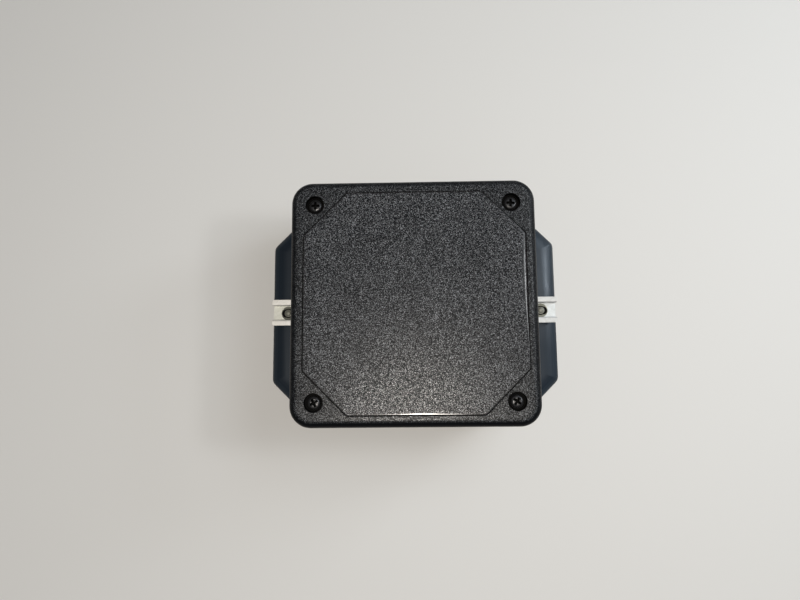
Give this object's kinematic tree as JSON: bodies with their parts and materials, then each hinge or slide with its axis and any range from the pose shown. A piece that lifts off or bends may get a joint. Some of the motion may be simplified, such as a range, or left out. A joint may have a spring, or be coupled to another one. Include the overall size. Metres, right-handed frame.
{
  "type": "lidar scanner module",
  "caption": "Sealed square scanner housing with a raised panel on its lid, clipped to a short top-hat rail that is riveted to a chamfered adapter plate.",
  "frame": {"origin": "centre of the bracket's flat underside, which is fixed to a wall, bench or robot deck", "axes": "+X along the rail, +Z from the bracket towards the lid, -Y out of the scan window"},
  "size_m": [0.168, 0.1328, 0.059],
  "materials": {
    "bracket": "smooth satin slate",
    "zinc": "bright zinc plate",
    "rivet": "dull steel",
    "housing_plastic": "fine spark texture",
    "grained_plastic": "fine spark texture",
    "rubber": "matt",
    "black_screw": "black oxide",
    "window": "polished, infrared passing",
    "nickel": "nickel plated",
    "black_plastic": "moulded",
    "light_pipe": "clear",
    "foot_plastic": "glass filled",
    "steel": "bright",
    "aluminium": "machined",
    "lens": "coated",
    "brass": "gold plated",
    "magnet": "sintered",
    "mirror": "diamond turned",
    "circuit_board": "green solder mask",
    "cable": "film"
  },
  "bodies": {
    "bracket": {"mounting_bracket": "bracket", "mounting_rail": "zinc", "rail_rivet_left": "rivet", "rail_rivet_right": "rivet"},
    "scanner": {"base_housing": "housing_plastic", "lid": "grained_plastic", "lid_gasket": "rubber", "lid_screw_1": "black_screw", "lid_screw_2": "black_screw", "lid_screw_3": "black_screw", "lid_screw_4": "black_screw", "scan_window": "window", "window_seal": "rubber", "power_port_shell": "nickel", "power_port_insert": "black_plastic", "power_port_nut": "nickel", "power_port_seal": "rubber", "data_port_shell": "nickel", "data_port_insert": "black_plastic", "data_port_nut": "nickel", "data_port_seal": "rubber", "pressure_vent": "rubber", "light_pipe_1": "light_pipe", "light_pipe_2": "light_pipe", "rail_foot": "foot_plastic", "foot_screw_1": "steel", "foot_screw_2": "steel", "foot_screw_3": "steel", "foot_screw_4": "steel", "latch_spring": "steel", "optics_deck": "aluminium", "optics_block": "aluminium", "receiver_lens": "lens", "emitter_lens": "lens", "receiver_detector": "brass", "laser_diode": "brass", "transceiver_board": "circuit_board", "encoder_bracket": "aluminium", "encoder_sensor": "black_plastic", "motor_base": "aluminium", "stator_core": "magnet", "lower_bearing": "steel", "upper_bearing": "steel", "main_board": "circuit_board", "board_screw_1": "steel", "board_screw_2": "steel", "board_screw_3": "steel", "board_screw_4": "steel", "processor": "black_plastic", "network_transformer": "black_plastic", "power_inductor": "black_plastic", "input_capacitor": "aluminium", "cable_header": "cable", "flat_cable": "cable"},
    "latch": {"rail_latch": "foot_plastic"},
    "rotor": {"polygon_mirror": "mirror", "rotor_cup": "steel", "magnet_ring": "magnet", "motor_shaft": "steel", "encoder_disc": "brass"}
  },
  "joints": [
    {"name": "slide_along_rail", "type": "slide", "parent": "bracket", "child": "scanner", "axis": [1, 0, 0], "range_m": [-0.054, 0.054]},
    {"name": "latch_pull", "type": "slide", "parent": "scanner", "child": "latch", "axis": [0, -1, 0], "range_m": [0, 0.0032], "stiffness_N_per_m": 1500, "springref_m": -0.002, "deforming": ["latch_spring"]},
    {"name": "mirror_spin", "type": "hinge", "parent": "scanner", "child": "rotor", "pos_m": [-0.012, -0.018, 0.031], "axis": [0, 0, 1], "continuous": true}
  ]
}
